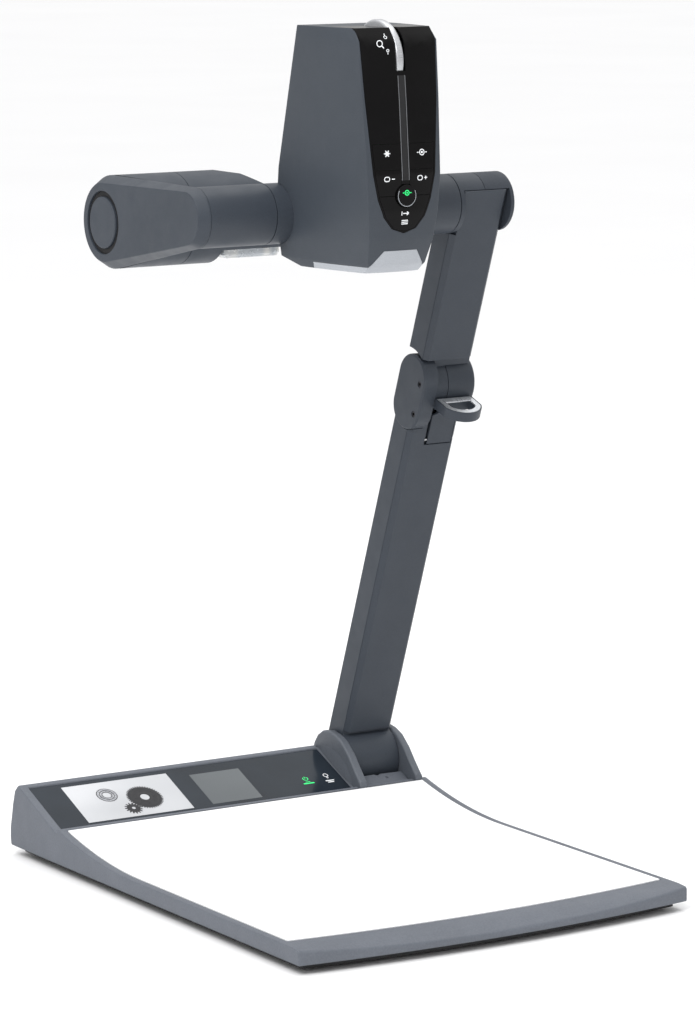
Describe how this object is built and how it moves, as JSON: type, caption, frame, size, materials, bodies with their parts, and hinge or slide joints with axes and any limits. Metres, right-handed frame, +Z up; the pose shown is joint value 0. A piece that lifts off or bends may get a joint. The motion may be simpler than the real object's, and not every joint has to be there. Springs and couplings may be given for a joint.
{
  "type": "document camera",
  "caption": "Desktop document camera: a wide base with a white working surface and sloped control panel, a folding arm, a tilting camera head and a swinging lamp.",
  "frame": {"origin": "on the floor under the centre of the base, midway along the whole object's width and depth", "axes": "+Z up, +Y to the back where the arm stands, +X to the right seen from the front"},
  "size_m": [0.395, 0.515, 0.765],
  "materials": {
    "housing": "fine matt dark blue-grey",
    "frame_grey": "fine-textured mid grey",
    "pan_black": "matt black",
    "white_surface": "smooth matt white",
    "panel_gloss": "glossy near-black",
    "screen": "lit display",
    "steel": "ground",
    "silver": "satin silver",
    "bronze": "sintered",
    "rubber": "matt",
    "board": "circuit board",
    "module_black": "matt black",
    "lens": "clear",
    "diffuser": "translucent white",
    "metal_frame": "plain sheet"
  },
  "bodies": {
    "base": {"base_shell": "frame_grey", "base_pan": "pan_black", "pan_screws": "steel", "feet": "rubber", "working_surface": "white_surface", "control_glass": "panel_gloss", "preview_display": "screen", "touch_display": "screen", "main_board": "board", "power_unit": "module_black", "connector_plate": "pan_black", "rear_sockets": "module_black", "cheek_left": "frame_grey", "cheek_right": "frame_grey", "hinge_cradle": "housing", "hinge_shaft": "steel"},
    "lower_arm": {"lower_arm_shell": "housing", "lower_arm_cover": "housing", "hinge_bushes": "bronze", "elbow_housing": "housing", "elbow_screws": "steel", "elbow_drum": "housing", "elbow_shaft": "steel", "handle_pin": "steel"},
    "release_handle": {"release_handle": "housing", "handle_inlay": "silver"},
    "upper_arm": {"upper_arm_shell": "housing", "upper_arm_cover": "housing", "elbow_bush": "bronze", "top_barrel": "housing", "barrel_end": "housing", "axle_shaft": "steel"},
    "camera_head": {"head_shell": "housing", "head_bezel": "silver", "front_panel": "panel_gloss", "wheel_pin": "module_black", "zoom_block": "module_black", "lens_barrel": "module_black", "lens_glass": "lens", "window_glass": "lens", "head_board": "board", "head_frame": "metal_frame", "head_tube": "housing", "head_bushes": "bronze"},
    "zoom_wheel": {"zoom_wheel": "silver"},
    "freeze_key": {"freeze_key": "panel_gloss"},
    "preset_key": {"preset_key": "panel_gloss"},
    "focus_minus_key": {"focus_minus_key": "panel_gloss"},
    "focus_plus_key": {"focus_plus_key": "panel_gloss"},
    "menu_key": {"menu_key": "panel_gloss"},
    "af_button": {"af_button": "panel_gloss"},
    "lamp_arm": {"lamp_tube": "housing", "lamp_housing": "housing", "lamp_cap_ring": "pan_black", "lamp_cap_disc": "housing", "lamp_spindle": "steel"},
    "lamp_head": {"lamp_head": "housing", "lamp_diffuser": "diffuser", "led_module": "metal_frame"}
  },
  "joints": [
    {"name": "base_hinge", "type": "hinge", "parent": "base", "child": "lower_arm", "pos_m": [0.1562, 0.2195, 0.054], "axis": [1, 0, 0], "range_deg": [0, 60]},
    {"name": "elbow_hinge", "type": "hinge", "parent": "lower_arm", "child": "upper_arm", "pos_m": [0.1562, 0.09511, 0.42742], "axis": [1, 0, 0], "range_deg": [-144, 0]},
    {"name": "handle_release", "type": "hinge", "parent": "lower_arm", "child": "release_handle", "pos_m": [0.1645, 0.09659, 0.37415], "axis": [1, 0, 0], "range_deg": [0, 5], "stiffness_Nm_per_rad": 3, "springref_deg": -1.72},
    {"name": "head_tilt", "type": "hinge", "parent": "upper_arm", "child": "camera_head", "pos_m": [0, 0.0334, 0.59512], "axis": [1, 0, 0], "range_deg": [-90, 15]},
    {"name": "lamp_swing", "type": "hinge", "parent": "camera_head", "child": "lamp_arm", "pos_m": [-0.061, 0.0334, 0.59512], "axis": [1, 0, 0], "range_deg": [-40, 65]},
    {"name": "lamp_turn", "type": "hinge", "parent": "lamp_arm", "child": "lamp_head", "pos_m": [-0.0655, 0.1777, 0.5808], "axis": [1, 0, 0], "range_deg": [-45, 45]},
    {"name": "zoom_turn", "type": "hinge", "parent": "camera_head", "child": "zoom_wheel", "pos_m": [0, -0.059, 0.73], "axis": [1, 0, 0], "range_deg": [-15, 15], "stiffness_Nm_per_rad": 0.08},
    {"name": "freeze_key_press", "type": "slide", "parent": "camera_head", "child": "freeze_key", "axis": [0, 1, 0], "range_m": [0, 0.0008], "stiffness_N_per_m": 800, "springref_m": -0.0004},
    {"name": "preset_key_press", "type": "slide", "parent": "camera_head", "child": "preset_key", "axis": [0, 1, 0], "range_m": [0, 0.0008], "stiffness_N_per_m": 800, "springref_m": -0.0004},
    {"name": "focus_minus_key_press", "type": "slide", "parent": "camera_head", "child": "focus_minus_key", "axis": [0, 1, 0], "range_m": [0, 0.0008], "stiffness_N_per_m": 800, "springref_m": -0.0004},
    {"name": "focus_plus_key_press", "type": "slide", "parent": "camera_head", "child": "focus_plus_key", "axis": [0, 1, 0], "range_m": [0, 0.0008], "stiffness_N_per_m": 800, "springref_m": -0.0004},
    {"name": "menu_key_press", "type": "slide", "parent": "camera_head", "child": "menu_key", "axis": [0, 1, 0], "range_m": [0, 0.0008], "stiffness_N_per_m": 800, "springref_m": -0.0004},
    {"name": "af_button_press", "type": "slide", "parent": "camera_head", "child": "af_button", "axis": [0, 1, 0], "range_m": [0, 0.0008], "stiffness_N_per_m": 800, "springref_m": -0.0004}
  ],
  "couplings": [
    {"joint": "elbow_hinge", "follows": "base_hinge", "ratio": -2.4}
  ]
}
